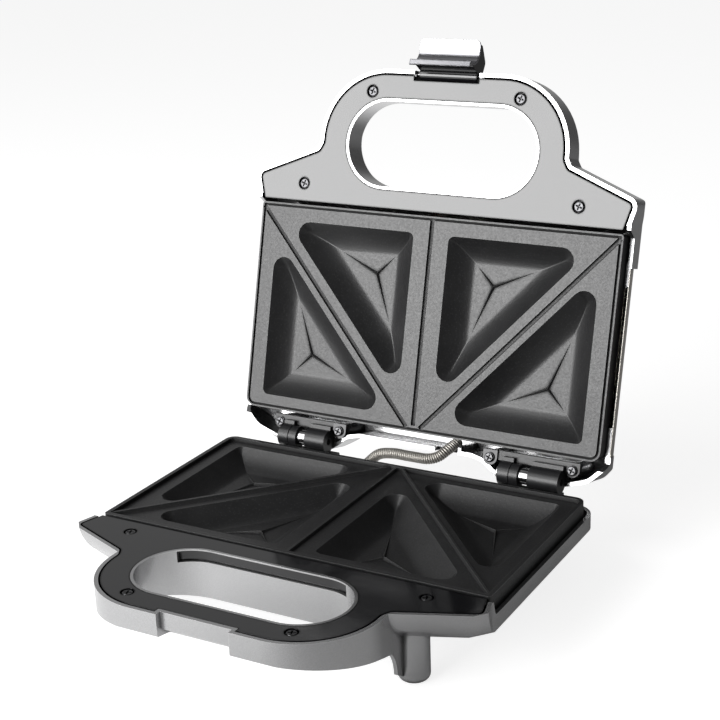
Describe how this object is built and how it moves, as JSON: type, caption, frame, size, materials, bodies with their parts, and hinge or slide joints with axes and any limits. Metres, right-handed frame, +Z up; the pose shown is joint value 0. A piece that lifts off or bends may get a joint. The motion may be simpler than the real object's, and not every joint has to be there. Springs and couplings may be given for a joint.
{
  "type": "sandwich toaster",
  "caption": "Countertop sandwich toaster with a hinged lid, grill plates with triangular pockets, loop handles and a swinging latch.",
  "frame": {"origin": "on the ground, at the middle of the part's footprint with the lid leaning open", "axes": "+X to the right seen from the handles, +Y from the handles to the hinges, +Z up"},
  "size_m": [0.2284, 0.2781, 0.2629],
  "materials": {
    "silver_plastic": "satin silver flake paint on moulded plastic",
    "black_gloss": "polished black plastic",
    "black_satin": "satin black heat-proof plastic",
    "nonstick": "cast aluminium with a charcoal non-stick coating",
    "steel": "bright brushed stainless steel",
    "bright_steel": "bright plated steel",
    "screw_steel": "zinc-plated steel",
    "element_sheath": "heat-stained tubular sheath",
    "reflector_sheet": "bright aluminised sheet",
    "ceramic": "pale heat-proof ceramic or resin",
    "rubber": "grey-black rubber",
    "red_lens": "clear red plastic",
    "green_lens": "clear green plastic",
    "conduit_steel": "close-wound flexible steel"
  },
  "bodies": {
    "base": {"base_housing": "silver_plastic", "base_handle_cover": "black_gloss", "base_cover_screws": "screw_steel", "base_plate": "nonstick", "base_element": "element_sheath", "base_element_clamps": "steel", "base_reflector": "reflector_sheet", "base_plate_screws": "screw_steel", "rubber_soles": "rubber", "base_hinge_left": "black_satin", "base_hinge_right": "black_satin", "base_hinge_screws": "screw_steel", "hinge_pin_left": "bright_steel", "hinge_pin_right": "bright_steel", "hinge_sleeves": "bright_steel", "thermostat": "ceramic", "thermal_fuse": "steel", "terminal_block": "ceramic", "cord_inlet_bush": "rubber", "wire_conduit": "conduit_steel"},
    "lid": {"lid_front_housing": "silver_plastic", "lid_steel_cover": "steel", "lid_rear_housing": "silver_plastic", "lid_handle_cover": "black_gloss", "lid_cover_screws": "screw_steel", "lid_plate": "nonstick", "lid_element": "element_sheath", "lid_element_clamps": "steel", "lid_reflector": "reflector_sheet", "lid_plate_screws": "screw_steel", "lid_hinge_left": "black_satin", "lid_hinge_right": "black_satin", "lid_hinge_straps": "bright_steel", "lid_hinge_screws": "bright_steel", "power_lamp_lens": "red_lens", "ready_lamp_lens": "green_lens", "lamp_holder": "ceramic", "latch_pin": "bright_steel"},
    "latch": {"latch_arm": "black_gloss", "latch_hook": "steel", "latch_screws": "screw_steel"}
  },
  "joints": [
    {"name": "lid_hinge", "type": "hinge", "parent": "base", "child": "lid", "pos_m": [0, 0.07144, 0.043], "axis": [1, 0, 0], "range_deg": [0, 105], "deforming": ["wire_conduit"]},
    {"name": "latch_pivot", "type": "hinge", "parent": "lid", "child": "latch", "pos_m": [0, 0.13028, 0.2433], "axis": [1, 0, 0], "range_deg": [-20, 25]}
  ]
}
